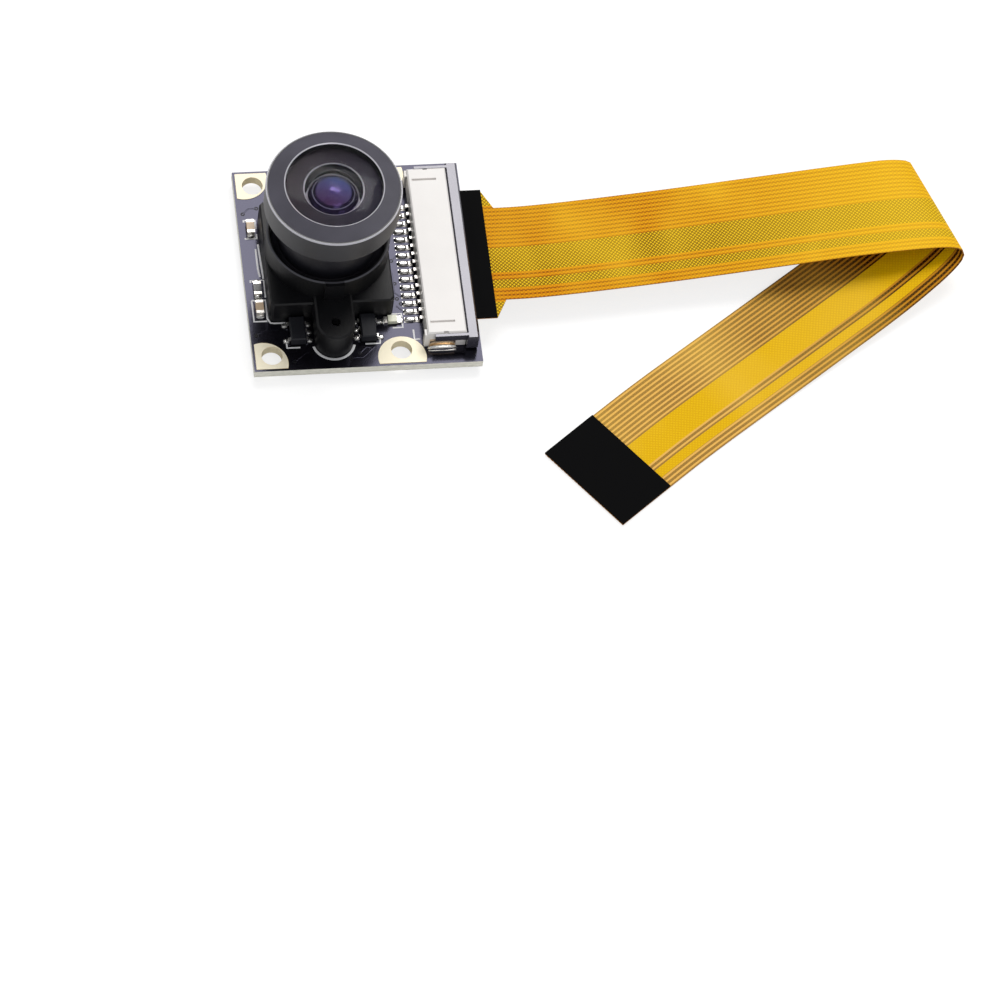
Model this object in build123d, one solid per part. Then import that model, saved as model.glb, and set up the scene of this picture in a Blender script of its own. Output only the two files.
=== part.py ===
from build123d import *
import os
from math import cos, sin, radians, pi, sqrt

# millimetres; z = 0 is the floor, x and y start at the board's centre
head_drop = 0.8                # how far the screw heads stand below the board
board_x, board_y, board_t = 24.0, 25.0, 1.0
board_top = head_drop + board_t
plating = 0.05
overlap = 0.1                  # how far a joined form or a cut reaches past its face

# mounting holes of the board
hole_r, hole_left, hole_edge, hole_pitch_x = 1.1, 2.0, 1.85, 13.6
pad_r, pad_shift = 2.55, 0.9   # round pads, set off towards the board's edges
pad_inset = 0.25               # bare strip between a pad and the board's edge

# lens axis and the moulded holder, heights above the board's top face
lens_x, lens_y = -3.4, 0.4
base_side, base_h, base_corner, base_edge = 13.0, 3.2, 0.4, 0.15
base_set = -0.35               # the base's middle from the lens axis, along y
collar_r, collar_h, rim_edge = 6.5, 6.35, 0.12
bore_r, mouth_r, mouth_h = 6.0, 6.1, 5.0
web_low, web_high, window_r = 2.1, 2.7, 3.6
pocket_side, pocket_h = 10.8, 1.6
filter_side, filter_t = 8.4, 0.4
lug_offset, lug_r, lug_h, lug_edge, lug_root = 9.6, 2.0, 3.7, 0.2, 1.0
rib_w, rib_out, rib_root = 2.0, 0.4, 0.8
dimple_r = 0.5

# screws from the back
screw_r, screw_slack, screw_grip, screw_bottoming = 0.8, 0.1, 2.7, 0.3
screw_head_r, screw_head_edge = 1.5, 0.3
cross_half, cross_w, cross_deep = 0.9, 0.3, 0.4

# lens: radii, and heights above the board's top face
thread_gap = 0.05
thread_r = bore_r - thread_gap
thread_low, thread_high, thread_pitch, thread_deep, crest = 3.3, 5.3, 0.5, 0.2, 0.1
neck_r, neck_flare = 5.3, 0.25
head_r, head_low, head_high, head_edge, head_rim = 7.1, 11.1, 14.45, 0.2, (0.12, 0.15)
ring_out, ring_in, ring_high, ring_lip, ring_edge = 6.85, 5.1, 15.0, 0.38, (0.12, 0.08)
glass_gap = 0.02
dome_gap = 0.03
front_glass_r, front_seat, front_apex, front_curve, glass_step = 5.6, 13.4, 15.65, 18.0, 0.2
hollow_r, hollow_deep = 2.9, 1.35
spacer_r, spacer_t, spacer_edge = 4.9, 0.3, 0.12
second_r, second_seat, second_apex, second_curve, second_dome_r = 3.9, 11.8, 13.85, 5.6, 2.8
second_hollow_r, second_hollow_curve, second_hollow_deep = 2.4, 4.2, 0.9
stop_r, stop_seat, stop_t, stop_hole_r, stop_slope = 3.3, 9.6, 0.4, 1.2, 0.6
inner_r, middle_seat, waist_r = 2.9, 7.4, 2.5
middle_over, middle_under, middle_gap = 6.0, 7.0, 0.1
rear_seat, rear_rise, rear_over, rear_under = 5.9, 0.45, 9.0, 12.0
rear_ring_in, rear_ring_t, rear_ring_slope = 2.2, 0.7, (0.4, 0.3, 0.15)

# image sensor
sensor_x, sensor_y = 8.5, 7.25
sensor_base_t, sensor_wall_t, sensor_glass_t = 0.4, 0.2, 0.4
die_x, die_y, die_sink = 6.2, 5.0, 0.05

# flat cable: widths, thicknesses and levels
film_t, backing_t, finger_t = 0.12, 0.2, 0.04
near_w, film_w = 16.0, 11.5
film_rise = 1.1                # the film's lower face above the board at the connector
film_low = board_top + film_rise
backing_top = film_rise + film_t + backing_t
near_finger, near_finger_w, near_finger_end = 15, 0.6, 12.0
far_ways, far_pitch, far_finger_w, far_finger_l = 22, 0.5, 0.3, 4.0

# flat cable: its line, chosen points and the runs between them
near_tip, near_backing_end, shoulder_end = 7.3, 13.9, 15.1
straight_end, turn_r, turn_deg = 16.0, 60.0, 6.1
fold_x, fold_y, back_deg = 62.2, 4.6, 218.0
back_run, far_backing = 52.4, 7.0

# flat cable connector, x from the shell's faces, heights above the board
pitch = 1.0
shell_back, shell_front, shell_half, shell_h, shell_edge = 6.2, 10.3, 10.35, 2.5, 0.15
slide_gap = 0.05
side_gap = 0.15
slot_half = near_w / 2 + side_gap
slot_low, slot_high, slot_back = 0.3, 1.92, shell_back + 0.7
comb_h, comb_deep = 1.25, 0.3
groove_side, groove_w, groove_deep, groove_back, groove_front = 0.65, 0.25, 0.25, 0.4, 1.1
ear_w, ear_out, ear_drop = 0.75, 0.25, 0.35
notch_back, notch_w, notch_in, notch_deep = 1.7, 0.5, 0.2, 0.3
bar_x, bar_high, bar_foot_w, bar_foot_h = 1.2, 2.35, 2.45, 0.3
bar_low = backing_top + slide_gap
tongue_l, arm_w, arm_back, latch_root = 2.5, 0.3, 0.8, 0.3
bar_over = 0.55                # how far the bar reaches past the shell's ends

# contacts, hold-down tabs and their pads
pad_gap, pad_l, contact_pad_w = 0.3, 1.6, 0.6
lead_w, lead_t, lead_gap, spring_t = 0.35, 0.2, 0.02, 0.16
lead_toe, lead_heel, lead_bend = 0.7, 0.5, 0.25
heel_ease, bend_ease, root_ease = 0.08, 0.05, 0.1    # set back of a bent strip's upper corners
lead_end, spring_tip, spring_tip_l, spring_root = 0.7, 1.5, 0.25, 0.6
nail_back, nail_l, nail_h, nail_foot, nail_foot_in = 0.3, 2.7, 1.3, 0.4, 0.1
nail_pad_gap, nail_pad_out, nail_pad_side = 0.05, 0.65, 0.1

# chips at the left edge and the indicator
chip_edge, chip_l, chip_w, chip_end, chip_lift = 1.25, 1.6, 0.8, 0.32, 0.03
chip_foot_l, chip_foot_h = 0.25, 0.15
cap_a_y, cap_b_y, res_y = 5.2, -4.9, -2.4
cap_h, res_h = 0.75, 0.5
led_x, led_y, led_h, led_end_l, led_end_h = 3.0, -7.0, 0.55, 0.42, 0.3

# five-lead packages beside the front lug
reg_side, reg_y = 3.7, -8.0
reg_w, reg_l, reg_low, reg_h, reg_edge = 1.6, 2.9, 0.1, 1.1, 0.12
reg_span, reg_lead_w, reg_pitch, reg_lead_t = 2.7, 0.4, 0.95, 0.15
reg_lead_h, reg_knee, reg_shin, reg_heel, reg_hock = 0.35, 0.22, 0.08, 0.04, 0.1

# metal can on the back
can_x, can_y, can_l, can_w = 6.0, 0.0, 3.2, 2.5
can_flange, can_lid_t = 0.2, 0.12

holes = [(hole_left - board_x / 2 + i * hole_pitch_x, j * (board_y / 2 - hole_edge))
         for i in (0, 1) for j in (-1, 1)]
lugs = [(lens_x, lens_y + s * lug_offset) for s in (-1, 1)]
way_rows = [(i - (near_finger - 1) / 2) * pitch for i in range(near_finger)]


def block(x0, x1, y0, y1, z0, z1):
    return Pos((x0 + x1) / 2, (y0 + y1) / 2, (z0 + z1) / 2) * Box(x1 - x0, y1 - y0, z1 - z0)


def slab(x0, x1, half, z0, z1):
    return block(x0, x1, -half, half, z0, z1)


def sideBlock(side, x0, x1, near, far, z0, z1):
    """Block between two distances from the x axis, on the +y or the -y side."""
    low, high = sorted((side * near, side * far))
    return block(x0, x1, low, high, z0, z1)


def disc(r, z0, z1, x=0.0, y=0.0):
    return Pos(x, y, (z0 + z1) / 2) * Cylinder(r, z1 - z0)


def onBoard(shape):
    return Pos(0, 0, board_top) * shape


def atLens(shape):
    return Pos(lens_x, lens_y, board_top) * shape


def topEdges(shape):
    return shape.faces().sort_by(Axis.Z)[-1].edges()


def outline(*points):
    return Polyline(*points, close=True)


def turned(edges):
    """Solid of revolution about the lens axis from edges in radius and height above the board."""
    return atLens(revolve(Plane.XZ * make_face(edges), Axis.Z))


def bulge(radius, half):
    return radius - sqrt(radius * radius - half * half)


def arcOver(radius, half, apex, sign):
    """Lens surface from the rim in to the axis; sign +1 bulges up, -1 bulges down."""
    at = lambda r: apex - sign * bulge(radius, r)
    return ThreePointArc((half, at(half)), (half / 2, at(half / 2)), (0, apex)), (half, at(half))


# board
def board():
    body = block(-board_x / 2, board_x / 2, -board_y / 2, board_y / 2, head_drop, board_top)
    for x, y in holes:
        body -= disc(hole_r + plating, head_drop, board_top, x, y)
    for x, y in lugs:
        body -= disc(screw_r + screw_slack, head_drop, board_top, x, y)
    return body


def padShape(x, y):
    """Round pad set off towards the board's edges, cut off short of them."""
    middle_x = x - pad_shift if x < 0 else x
    middle_y = y + (pad_shift if y > 0 else -pad_shift)
    room = Rectangle(board_x - 2 * pad_inset, board_y - 2 * pad_inset) - Pos(x, y) * Circle(hole_r)
    return Pos(middle_x, middle_y) * Circle(pad_r) & room


def platedHoles():
    made = []
    for x, y in holes:
        pad = padShape(x, y)
        wall = disc(hole_r + plating, head_drop, board_top, x, y)
        wall -= disc(hole_r, head_drop - overlap, board_top + overlap, x, y)
        made.append(onBoard(extrude(pad, plating)) + wall
                    + Pos(0, 0, head_drop - plating) * extrude(pad, plating))
    return Compound(children=made)


def solderPads():
    front = shell_back - pad_gap
    half = contact_pad_w / 2
    pads = [onBoard(block(front - pad_l, front, y - half, y + half, 0, plating)) for y in way_rows]
    nail_x = shell_back + nail_back
    for s in (-1, 1):
        pads.append(onBoard(sideBlock(s, nail_x - nail_pad_side, nail_x + nail_l + nail_pad_side,
                                      shell_half + nail_pad_gap, shell_half + nail_pad_out, 0, plating)))
    return Compound(children=pads)


# holder and its screws
def holderLug(side):
    lug = sideBlock(side, -lug_r, lug_r, base_side / 2 - lug_root, lug_offset, 0, lug_h)
    lug += disc(lug_r, 0, lug_h, 0, side * lug_offset)
    return chamfer(topEdges(lug).filter_by(GeomType.CIRCLE), lug_edge)


def holderRib(side):
    return sideBlock(side, -rib_w / 2, rib_w / 2, collar_r - rib_root, collar_r + rib_out,
                     lug_h - overlap, collar_h)


def holder():
    s, p, f = base_side / 2, pocket_side / 2, filter_side / 2
    base = Pos(0, base_set, 0) * slab(-s, s, s, 0, base_h)
    base = chamfer(base.edges().filter_by(Axis.Z), base_corner)
    body = chamfer(topEdges(base), base_edge) + disc(collar_r, 0, collar_h)
    for side in (-1, 1):
        body += holderLug(side) + holderRib(side)
    body -= disc(bore_r, web_high, collar_h + overlap) + disc(mouth_r, mouth_h, collar_h + overlap)
    body -= disc(window_r, 0, collar_h)
    body -= slab(-p, p, p, 0, pocket_h) + slab(-f, f, f, 0, web_low)
    for side in (-1, 1):
        body -= disc(screw_r, 0, screw_grip, 0, side * lug_offset)
        body -= disc(dimple_r, 0, lug_h + overlap, 0, side * lug_offset)
    rim = body.edges().filter_by(GeomType.CIRCLE).group_by(Axis.Z)[-1]
    return atLens(chamfer(rim, rim_edge))


def holderScrews():
    head = disc(screw_head_r, 0, head_drop)
    head = fillet(head.edges().sort_by(Axis.Z)[0], screw_head_edge)
    head -= slab(-cross_half, cross_half, cross_w / 2, 0, cross_deep)
    head -= slab(-cross_w / 2, cross_w / 2, cross_half, 0, cross_deep)
    screw = head + disc(screw_r, head_drop, board_top + screw_grip - screw_bottoming)
    return Compound(children=[Pos(x, y, 0) * screw for x, y in lugs])


# image sensor and filter
def sensorBase():
    tray = slab(-sensor_x / 2, sensor_x / 2, sensor_y / 2, 0, sensor_base_t + sensor_wall_t)
    return atLens(tray - slab(-die_x / 2, die_x / 2, die_y / 2, sensor_base_t, 2 * sensor_base_t + sensor_wall_t))


def sensorDie():
    return atLens(slab(-die_x / 2, die_x / 2, die_y / 2, sensor_base_t,
                       sensor_base_t + sensor_wall_t - die_sink))


def sensorGlass():
    low = sensor_base_t + sensor_wall_t
    return atLens(slab(-sensor_x / 2, sensor_x / 2, sensor_y / 2, low, low + sensor_glass_t))


def filterGlass():
    return atLens(slab(-filter_side / 2, filter_side / 2, filter_side / 2, web_low - filter_t, web_low))


# lens barrel and rings
def threadOutline():
    root = thread_r - thread_deep
    points = [(inner_r, thread_low), (root, thread_low)]
    h = thread_low + thread_deep
    while h < thread_high - thread_deep - crest:
        points += [(thread_r, h), (thread_r, h + crest), (root, h + crest + thread_deep)]
        h += thread_pitch
    return points


def lensBarrel():
    glass_r = front_glass_r + glass_gap
    head = [(neck_r, thread_high), (neck_r, head_low - neck_flare), (neck_r + neck_flare, head_low),
            (head_r - head_edge, head_low), (head_r, head_low + head_edge),
            (head_r, head_high - head_rim[1]), (head_r - head_rim[0], head_high), (ring_out, head_high)]
    seats = [(ring_out, front_seat + glass_step), (glass_r, front_seat + glass_step), (glass_r, front_seat),
             (spacer_r, front_seat), (spacer_r, front_seat - spacer_t), (second_r, front_seat - spacer_t),
             (second_r, second_seat), (stop_r, second_seat), (stop_r, stop_seat),
             (inner_r, stop_seat), (inner_r, middle_seat), (waist_r, middle_seat),
             (waist_r, rear_seat), (inner_r, rear_seat)]
    return turned(outline(*(threadOutline() + head + seats)))


def frontRing():
    over_glass = front_glass_r + thread_gap
    lip = ring_high - ring_lip
    out = ring_out - glass_gap
    return turned(outline((ring_in, lip), (ring_in, ring_high - ring_edge[1]),
                          (ring_in + ring_edge[0], ring_high), (out, head_high),
                          (out, front_seat + glass_step), (over_glass, front_seat + glass_step),
                          (over_glass, lip)))


def blackRing():
    out, low = spacer_r - glass_gap, front_seat - spacer_t
    return turned(outline((hollow_r, low), (out, low), (out, front_seat), (hollow_r + spacer_edge, front_seat),
                          (hollow_r, front_seat - spacer_edge)))


def stopRing():
    r = stop_r - glass_gap
    return turned(outline((stop_hole_r, stop_seat), (r, stop_seat), (r, stop_seat + stop_t),
                          (stop_hole_r + stop_slope, stop_seat + stop_t), (stop_hole_r, stop_seat + stop_t / 4)))


def rearRing():
    r, low = inner_r - glass_gap, thread_low
    lip, run, drop = rear_ring_slope
    return turned(outline((rear_ring_in, low), (r, low), (r, low + rear_ring_t),
                          (inner_r - run, low + rear_ring_t - drop), (rear_ring_in, low + lip)))


# glass
def frontGlass():
    dome_r, shoulder = ring_in - dome_gap, ring_high - ring_lip - glass_gap
    over, rim = arcOver(front_curve, dome_r, front_apex, 1)
    hollow = (hollow_r ** 2 + hollow_deep ** 2) / (2 * hollow_deep)
    foot = front_seat + glass_gap
    roof = foot + hollow_deep
    under, lip = arcOver(hollow, hollow_r, roof, 1)
    side = Polyline(lip, (front_glass_r, foot), (front_glass_r, shoulder), (dome_r, shoulder), rim)
    return turned([over, Line((0, front_apex), (0, roof)), under, side])


def secondGlass():
    r, roof = second_r - glass_gap, second_seat + second_hollow_deep
    over, rim = arcOver(second_curve, second_dome_r, second_apex, 1)
    under, lip = arcOver(second_hollow_curve, second_hollow_r, roof, 1)
    inner_foot, outer_foot, shoulder = (second_hollow_r, second_seat), (r, second_seat), (r, rim[1])
    return turned([over, Line((0, second_apex), (0, roof)), under, Line(lip, inner_foot),
                   Line(inner_foot, outer_foot), Line(outer_foot, shoulder), Line(shoulder, rim)])


def roundGlass(low, high, over_r, under_r):
    r = inner_r - glass_gap
    over, rim = arcOver(over_r, r, high, 1)
    under, lip = arcOver(under_r, r, low, -1)
    return turned([over, Line((0, high), (0, low)), under, Line(lip, rim)])


def middleGlass():
    drop = bulge(middle_under, waist_r)
    return roundGlass(middle_seat - drop, stop_seat - middle_gap, middle_over, middle_under)


def rearGlass():
    return roundGlass(thread_low + rear_rise, rear_seat, rear_over, rear_under)


# connector
def connectorShell():
    body = chamfer(topEdges(slab(shell_back, shell_front, shell_half, 0, shell_h)), shell_edge)
    body -= slab(slot_back, shell_front + overlap, slot_half, slot_low, slot_high)
    half, notch = lead_w / 2 + lead_gap, contact_pad_w / 2
    for y in way_rows:
        body -= block(shell_back - overlap, slot_back + overlap, y - half, y + half, slot_low, slot_low + lead_t)
        body -= block(shell_back - overlap, shell_back + comb_deep, y - notch, y + notch, 0, comb_h)
    groove = slot_half + groove_side
    notch_x = shell_back + notch_back
    for s in (-1, 1):
        body -= sideBlock(s, shell_back + groove_back, shell_front - groove_front, groove, groove + groove_w,
                          shell_h - groove_deep, shell_h + overlap)
        body += sideBlock(s, shell_back - ear_out, shell_back + overlap, shell_half - ear_w, shell_half,
                          0, shell_h - ear_drop)
        body -= sideBlock(s, notch_x, notch_x + notch_w, shell_half - notch_in, shell_half + overlap,
                          shell_h - notch_deep, shell_h + overlap)
    return onBoard(body)


def connectorLatch():
    back = shell_front + slide_gap
    arm = shell_half + slide_gap
    out = arm + bar_over
    body = slab(back, back + bar_x, out, bar_low, bar_high)
    body = chamfer(body.edges().filter_by(Axis.Y).group_by(Axis.Z)[-1], shell_edge)
    body += slab(shell_front - tongue_l, back + latch_root, near_w / 2, bar_low, slot_high - slide_gap)
    for s in (-1, 1):
        body += sideBlock(s, shell_back + arm_back, back + latch_root, arm, arm + arm_w, bar_low, bar_high)
        body += sideBlock(s, back, back + bar_x, out - bar_foot_w, out, bar_foot_h, bar_low)
    return onBoard(body)


def connectorLeads():
    toe, heel = shell_back - pad_gap - pad_l + lead_toe, shell_back - lead_heel
    bend, end = shell_back - lead_bend, shell_front - lead_end
    tip, root = shell_front - spring_tip, slot_back + spring_root
    base, touch = slot_low + lead_t, film_rise - finger_t
    side = outline((toe, plating), (heel, plating), (bend, slot_low), (end, slot_low), (end, base),
                   (root, base), (tip, touch - spring_t), (tip + spring_tip_l, touch - spring_t),
                   (tip + spring_tip_l, touch), (tip - bend_ease, touch), (slot_back + root_ease, base),
                   (bend - bend_ease, base), (heel - heel_ease, plating + lead_t), (toe, plating + lead_t))
    lead = extrude(Plane.XZ * make_face(side), lead_w / 2, both=True)
    return Compound(children=[onBoard(Pos(0, y, 0) * lead) for y in way_rows])


def connectorNails():
    x0 = shell_back + nail_back
    made = []
    for s in (-1, 1):
        plate = sideBlock(s, x0, x0 + nail_l, shell_half, shell_half + lead_t, plating, nail_h)
        foot = sideBlock(s, x0 + nail_foot_in, x0 + nail_l - nail_foot_in, shell_half,
                         shell_half + nail_foot, plating, plating + lead_t)
        made.append(onBoard(plate + foot))
    return Compound(children=made)


# chips and indicator
def chipBody(y, h):
    x = chip_edge - board_x / 2
    half = chip_l / 2 - chip_end
    return onBoard(block(x - chip_w / 2, x + chip_w / 2, y - half, y + half, chip_lift, h))


def chipEnds():
    x, made = chip_edge - board_x / 2, []
    left, right = x - chip_w / 2, x + chip_w / 2
    for y, h in ((cap_a_y, cap_h), (cap_b_y, cap_h), (res_y, res_h)):
        for s in (-1, 1):
            cap = sideBlock(s, left, right, chip_l / 2 - chip_end, chip_l / 2, 0, h)
            foot = sideBlock(s, left, right, chip_l / 2, chip_l / 2 + chip_foot_l, 0, chip_foot_h)
            made.append(onBoard(Pos(0, y, 0) * (cap + foot)))
    return Compound(children=made)


def ledBody():
    half = chip_l / 2 - chip_end
    return onBoard(Pos(led_x, led_y, 0) * slab(-half, half, chip_w / 2, chip_lift, led_h))


def ledEnds():
    half = chip_l / 2 - chip_end
    end = slab(half, half + led_end_l, chip_w / 2, 0, led_end_h)
    at = Pos(led_x, led_y, 0)
    return Compound(children=[onBoard(at * end), onBoard(at * end.mirror(Plane.YZ))])


# packages
def regulators():
    body = slab(-reg_w / 2, reg_w / 2, reg_l / 2, reg_low, reg_h)
    body = chamfer(topEdges(body), reg_edge)
    return Compound(children=[onBoard(Pos(lens_x + s * reg_side, reg_y, 0) * body) for s in (-1, 1)])


def regulatorLeads():
    r, e, h, t = reg_w / 2, reg_span / 2, reg_lead_h, reg_lead_t
    side = outline((r, h + t), (r + reg_knee, h + t), (r + reg_knee + reg_shin, t), (e, t), (e, 0),
                   (r + reg_knee - reg_heel, 0), (r + reg_knee - reg_hock, h), (r, h))
    lead = extrude(Plane.XZ * make_face(side), reg_lead_w / 2, both=True)
    made = []
    for s in (-1, 1):
        for turn, rows in ((-s, (-1, 0, 1)), (s, (-1, 1))):
            one = lead if turn > 0 else lead.mirror(Plane.YZ)
            made += [onBoard(Pos(lens_x + s * reg_side, reg_y + row * reg_pitch, 0) * one) for row in rows]
    return Compound(children=made)


def oscillatorCan():
    lid = can_l / 2 - can_flange, can_w / 2 - can_flange
    can = slab(-can_l / 2, can_l / 2, can_w / 2, can_lid_t, head_drop)
    return Pos(can_x, can_y, 0) * (can + slab(-lid[0], lid[0], lid[1], 0, can_lid_t))


# flat cable
far_low = finger_t
fold_r = (film_low - far_low) / 2
fold_mid = (film_low + far_low + film_t) / 2
aim = radians(turn_deg)
turn_x = straight_end + turn_r * sin(aim)
turn_y = turn_r * (1 - cos(aim))
out_run = sqrt((fold_x - turn_x) ** 2 + (fold_y - turn_y) ** 2)
out_deg = Vector(fold_x - turn_x, fold_y - turn_y).get_signed_angle(Vector(1, 0), Vector(0, 0, -1))
crease_out = (out_deg + back_deg - 180) / 2
reach = out_run + back_run     # longer than any stretch of the cable that is cut


def atFold(turn_to, shape):
    return Pos(fold_x, fold_y, 0) * Rot(0, 0, turn_to) * shape


def atFar(shape):
    return atFold(back_deg, Pos(back_run, 0, 0) * shape)


def nearEnd():
    half, wide = film_w / 2, near_w / 2
    return make_face(outline((near_tip, wide), (near_backing_end, wide), (shoulder_end, half),
                             (straight_end, half), (straight_end, -half), (shoulder_end, -half),
                             (near_backing_end, -wide), (near_tip, -wide)))


def turnArc():
    half, wide = film_w / 2, turn_r + film_w
    ring = Pos(straight_end, turn_r) * (Circle(turn_r + half) - Circle(turn_r - half))
    wedge = make_face(outline((straight_end, turn_r), (straight_end, turn_r - wide),
                              (straight_end + wide * sin(aim), turn_r - wide * cos(aim))))
    return ring & wedge


def foldHalf(direction, z0, z1):
    """Half of the fold's tube, cut to the width of the run that it belongs to."""
    tube = Cylinder(fold_r + film_t / 2, reach) - Cylinder(fold_r - film_t / 2, reach)
    tube = atFold(crease_out, Pos(-fold_r, 0, fold_mid) * Rot(90, 0, 0) * tube)
    beyond = atFold(crease_out, slab(-fold_r, reach, reach, z0, z1))
    return tube & beyond & atFold(direction, slab(-reach, reach, film_w / 2, z0, z1))


def film():
    past = 2 * fold_r + film_w
    run = Pos(turn_x, turn_y) * Rot(0, 0, out_deg) * Pos((out_run + past) / 2) * Rectangle(out_run + past, film_w)
    back = atFold(back_deg, Pos((back_run - past) / 2) * Rectangle(back_run + past, film_w))
    first = Pos(0, 0, film_low) * extrude(nearEnd() + turnArc() + run, film_t)
    second = Pos(0, 0, far_low) * extrude(back, film_t)
    beyond = atFold(crease_out, slab(-fold_r, reach, reach, -overlap, film_low + 1))
    upper = foldHalf(out_deg, fold_mid, film_low + 1)
    lower = foldHalf(back_deg, -overlap, fold_mid)
    return (first - beyond) + upper + lower + (second - beyond)


def nearBacking():
    low = film_low + film_t
    return slab(near_tip, near_backing_end, near_w / 2, low, low + backing_t)


def farBacking():
    low = far_low + film_t
    return atFar(slab(-far_backing, 0, film_w / 2, low, low + backing_t))


def nearFingers():
    half, low = near_finger_w / 2, film_low - finger_t
    return Compound(children=[block(near_tip, near_finger_end, y - half, y + half, low, film_low)
                              for y in way_rows])


def farFingers():
    rows = [(i - (far_ways - 1) / 2) * far_pitch for i in range(far_ways)]
    half = far_finger_w / 2
    return Compound(children=[atFar(block(-far_finger_l, 0, y - half, y + half, 0, far_low)) for y in rows])


def filmCheck(volume):
    length = straight_end - near_tip + turn_r * aim + out_run + back_run + (pi - 2) * fold_r
    wide = (near_backing_end - near_tip) * (near_w - film_w)
    shoulders = (shoulder_end - near_backing_end) * (near_w - film_w) / 2
    expected = (length * film_w + wide + shoulders) * film_t
    print(f"  film length {length:.2f}, turn radius {turn_r}, fold radius {fold_r:.3f}, "
          f"volume {volume:.3f}, section x length {expected:.3f}")


pieces = {
    "board": board, "plated_holes": platedHoles, "solder_pads": solderPads,
    "lens_holder": holder, "holder_screws": holderScrews,
    "sensor_base": sensorBase, "sensor_die": sensorDie, "sensor_glass": sensorGlass,
    "filter_glass": filterGlass,
    "lens_barrel": lensBarrel, "front_ring": frontRing, "front_glass": frontGlass,
    "black_ring": blackRing, "second_glass": secondGlass, "stop_ring": stopRing,
    "middle_glass": middleGlass, "rear_glass": rearGlass, "rear_ring": rearRing,
    "connector_shell": connectorShell, "connector_latch": connectorLatch,
    "connector_leads": connectorLeads, "connector_nails": connectorNails,
    "capacitor_a": lambda: chipBody(cap_a_y, cap_h), "capacitor_b": lambda: chipBody(cap_b_y, cap_h),
    "resistor": lambda: chipBody(res_y, res_h), "chip_ends": chipEnds,
    "led_body": ledBody, "led_ends": ledEnds,
    "regulators": regulators, "regulator_leads": regulatorLeads, "oscillator": oscillatorCan,
    "cable_film": film, "near_backing": nearBacking, "far_backing": farBacking,
    "near_fingers": nearFingers, "far_fingers": farFingers,
}

os.makedirs("parts", exist_ok=True)
for name, make in pieces.items():
    shape = make()
    shape.label = name
    export_step(shape, f"parts/{name}.step")
    box = shape.bounding_box()
    print(f"{name:16s} solids {len(shape.solids()):3d}  volume {shape.volume:9.3f}  "
          f"z {box.min.Z:6.3f}..{box.max.Z:6.3f}")
    if name == "cable_film":
        filmCheck(shape.volume)
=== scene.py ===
import bpy
import math
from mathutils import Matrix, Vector


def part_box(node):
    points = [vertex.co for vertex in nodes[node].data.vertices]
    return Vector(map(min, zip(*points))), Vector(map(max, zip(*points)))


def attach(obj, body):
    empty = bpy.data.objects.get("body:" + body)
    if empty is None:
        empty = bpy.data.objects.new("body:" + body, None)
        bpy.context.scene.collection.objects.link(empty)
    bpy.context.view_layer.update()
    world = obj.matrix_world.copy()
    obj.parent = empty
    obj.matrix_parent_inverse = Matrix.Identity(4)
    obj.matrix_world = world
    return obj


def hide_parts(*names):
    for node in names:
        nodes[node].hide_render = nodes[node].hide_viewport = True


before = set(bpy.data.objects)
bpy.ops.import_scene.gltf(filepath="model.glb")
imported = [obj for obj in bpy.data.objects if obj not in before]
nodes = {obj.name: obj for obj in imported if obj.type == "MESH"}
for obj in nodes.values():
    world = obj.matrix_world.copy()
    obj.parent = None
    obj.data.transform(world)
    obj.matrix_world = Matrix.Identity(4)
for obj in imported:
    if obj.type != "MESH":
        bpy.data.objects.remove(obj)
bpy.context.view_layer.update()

mm = 0.001

# places that the pieces below share, all from the frame
boardLow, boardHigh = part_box("board")
boardTop = boardHigh.z
boardUnder = boardLow.z
barrelLow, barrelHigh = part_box("lens_barrel")
lensX = (barrelLow.x + barrelHigh.x) / 2
lensY = (barrelLow.y + barrelHigh.y) / 2
headRadius = (barrelHigh.x - barrelLow.x) / 2 / mm
tops = {name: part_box(name)[1].z / mm
        for name in ("lens_holder", "lens_barrel", "front_ring", "black_ring")}
lugX, frontLugY, rearLugY = -3.4, -9.2, 10.0     # the holder's two screw lugs, millimetres

print("stage 1: camera, lamps and floor")

cameraSet = {
    "place": (-0.080934, -0.360797, 0.556786),
    "turn": (31.3695, -5.4875, -6.714),   # degrees, XYZ
    "lens": 228.432,
}
bpy.ops.object.camera_add(location=cameraSet["place"],
                          rotation=[math.radians(a) for a in cameraSet["turn"]])
camera = bpy.context.object
camera.data.lens = cameraSet["lens"]
camera.data.sensor_width = 36.0
camera.data.clip_start, camera.data.clip_end = 0.02, 20.0
bpy.context.scene.camera = camera
bpy.context.scene.view_settings.view_transform = "Standard"

lampSet = {
    "softbox": {"aim": (0.16, 0.50, 0.85), "far": 0.95, "size": (0.62, 0.42), "watts": 6.4,
                "colour": (1.0, 0.985, 0.97)},
    "side": {"aim": (-0.85, -0.15, 0.45), "far": 0.9, "size": (0.35, 0.5), "watts": 0.16,
             "colour": (0.95, 0.97, 1.0)},
    "front": {"aim": (0.25, -0.72, 0.85), "far": 1.0, "size": (0.5, 0.3), "watts": 1.15,
              "colour": (1.0, 1.0, 1.0)},
}
for name, lamp in lampSet.items():
    aim = Vector(lamp["aim"]).normalized()
    bpy.ops.object.light_add(type="AREA", location=aim * lamp["far"])
    light = bpy.context.object
    light.name = "lamp_" + name
    light.rotation_euler = aim.to_track_quat("Z", "Y").to_euler()
    light.data.shape = "RECTANGLE"
    light.data.size, light.data.size_y = lamp["size"]
    light.data.energy = lamp["watts"]
    light.data.color = lamp["colour"]
    light.visible_camera = False

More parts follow.
